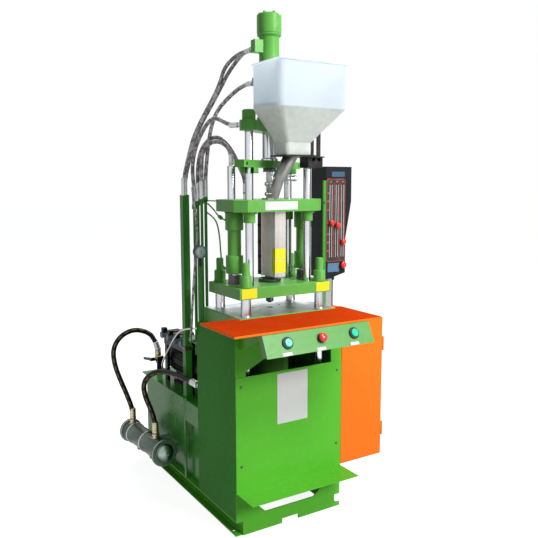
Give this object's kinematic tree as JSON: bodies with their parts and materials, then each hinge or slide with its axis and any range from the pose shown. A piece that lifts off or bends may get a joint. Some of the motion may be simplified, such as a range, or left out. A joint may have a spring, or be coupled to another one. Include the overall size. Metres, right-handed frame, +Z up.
{
  "type": "injection_moulding_machine",
  "caption": "Small vertical plastic injection moulding machine: green hydraulic press over an orange work table, hopper on top, oil tank, pump and cooler behind, control box at the side",
  "frame": {"origin": "middle of the four floor anchor holes, on the floor", "axes": "+X to the machine's right seen from the operator, +Y to the back, +Z up; the operator stands on the -Y side"},
  "size_m": [0.9177, 1.2713, 2.028],
  "materials": {
    "green_paint": "gloss machine enamel",
    "platen_green": "gloss machine enamel",
    "dark_green": "satin machine enamel",
    "orange_paint": "gloss machine enamel",
    "console_green": "gloss machine enamel",
    "steel": "machined",
    "chrome": "ground and hard chromed",
    "black_metal": "satin black enamel",
    "black_plastic": "moulded",
    "scale_grey": "printed plate",
    "red_plastic": "moulded",
    "button_green": "moulded",
    "white_plastic": "translucent moulding",
    "white_plate": "bare plate",
    "hose_rubber": "rubber cover",
    "hose_braid": "wire braid"
  },
  "bodies": {
    "base": {"skid_frame": "green_paint", "base_cabinet": "green_paint", "front_panel": "green_paint", "base_fasteners": "steel", "instruction_plate": "white_plate", "lower_platen": "platen_green", "table": "orange_paint", "console": "console_green", "button_bezels": "black_plastic", "electric_cabinet": "orange_paint", "control_gear": "steel", "clamp_cylinder": "platen_green", "control_post": "green_paint", "control_box": "black_metal", "scale_plate": "scale_grey", "cable_conduit": "hose_rubber", "oil_tank": "platen_green", "tank_breather": "black_metal", "motor": "black_metal", "pump": "black_metal", "valve_stack": "black_metal", "pressure_gauge": "black_plastic", "riser_pipes": "green_paint", "oil_cooler": "dark_green", "cooler_hoses": "hose_rubber", "hose_loom": "hose_braid"},
    "clamp": {"clamp_rod": "chrome", "clamp_crosshead": "platen_green", "tie_bars": "chrome", "platen_nuts": "platen_green", "moving_platen": "platen_green", "guide_columns": "chrome", "top_plate": "platen_green", "injection_cylinder": "platen_green", "carriage_rods": "chrome"},
    "carriage": {"injection_plate": "platen_green", "guide_bushes": "platen_green", "barrel": "steel", "nozzle": "steel", "heaters": "black_metal", "barrel_cover": "steel", "carriage_cylinders": "platen_green", "chute": "steel", "hopper": "white_plastic", "hopper_bracket": "black_metal"},
    "injection": {"injection_rod": "chrome", "crosshead": "platen_green", "plunger": "steel"},
    "gate": {"gate_knob": "steel"},
    "start_left": {"button_left": "button_green"},
    "start_right": {"button_right": "button_green"},
    "stop": {"button_stop": "red_plastic"},
    "slider_1": {"slider_knob_1": "red_plastic"},
    "slider_2": {"slider_knob_2": "red_plastic"},
    "slider_3": {"slider_knob_3": "red_plastic"},
    "reset": {"reset_button": "red_plastic"},
    "door": {"cabinet_door": "orange_paint"},
    "rotor": {"motor_shaft": "steel"},
    "needle": {"gauge_needle": "steel"},
    "tap": {"tap_handle": "black_metal"}
  },
  "joints": [
    {"name": "clamp_slide", "type": "slide", "parent": "base", "child": "clamp", "axis": [0, 0, 1], "range_m": [0, 0.15], "deforming": ["hose_loom"]},
    {"name": "carriage_slide", "type": "slide", "parent": "clamp", "child": "carriage", "axis": [0, 0, 1], "range_m": [0, 0.03]},
    {"name": "injection_slide", "type": "slide", "parent": "clamp", "child": "injection", "axis": [0, 0, 1], "range_m": [-0.06, 0]},
    {"name": "gate_slide", "type": "slide", "parent": "carriage", "child": "gate", "axis": [1, 0, 0], "range_m": [-0.012, 0]},
    {"name": "start_left_push", "type": "slide", "parent": "base", "child": "start_left", "axis": [0, 0.899, -0.4379], "range_m": [0, 0.004], "stiffness_N_per_m": 600, "springref_m": -0.002},
    {"name": "start_right_push", "type": "slide", "parent": "base", "child": "start_right", "axis": [0, 0.899, -0.4379], "range_m": [0, 0.004], "stiffness_N_per_m": 600, "springref_m": -0.002},
    {"name": "stop_push", "type": "slide", "parent": "base", "child": "stop", "axis": [0, 0.899, -0.4379], "range_m": [0, 0.004], "stiffness_N_per_m": 600, "springref_m": -0.002},
    {"name": "slider_1_slide", "type": "slide", "parent": "base", "child": "slider_1", "axis": [0, 0, 1], "range_m": [-0.146, 0.158]},
    {"name": "slider_2_slide", "type": "slide", "parent": "base", "child": "slider_2", "axis": [0, 0, 1], "range_m": [-0.134, 0.17]},
    {"name": "slider_3_slide", "type": "slide", "parent": "base", "child": "slider_3", "axis": [0, 0, 1], "range_m": [-0.062, 0.242]},
    {"name": "reset_push", "type": "slide", "parent": "base", "child": "reset", "axis": [0, 1, 0], "range_m": [0, 0.004], "stiffness_N_per_m": 600, "springref_m": -0.002},
    {"name": "door_hinge", "type": "hinge", "parent": "base", "child": "door", "pos_m": [0.479, -0.4815, 0.4], "axis": [0, 0, 1], "range_deg": [0, 110]},
    {"name": "rotor_turn", "type": "hinge", "parent": "base", "child": "rotor", "pos_m": [-0.105, 0.1265, 0.525], "axis": [0, 1, 0], "continuous": true},
    {"name": "needle_turn", "type": "hinge", "parent": "base", "child": "needle", "pos_m": [-0.237, -0.1775, 1.091], "axis": [0, 1, 0], "range_deg": [-135, 135]},
    {"name": "tap_turn", "type": "hinge", "parent": "base", "child": "tap", "pos_m": [-0.214, 0.4285, 0.5], "axis": [1, 0, 0], "range_deg": [0, 90]}
  ]
}
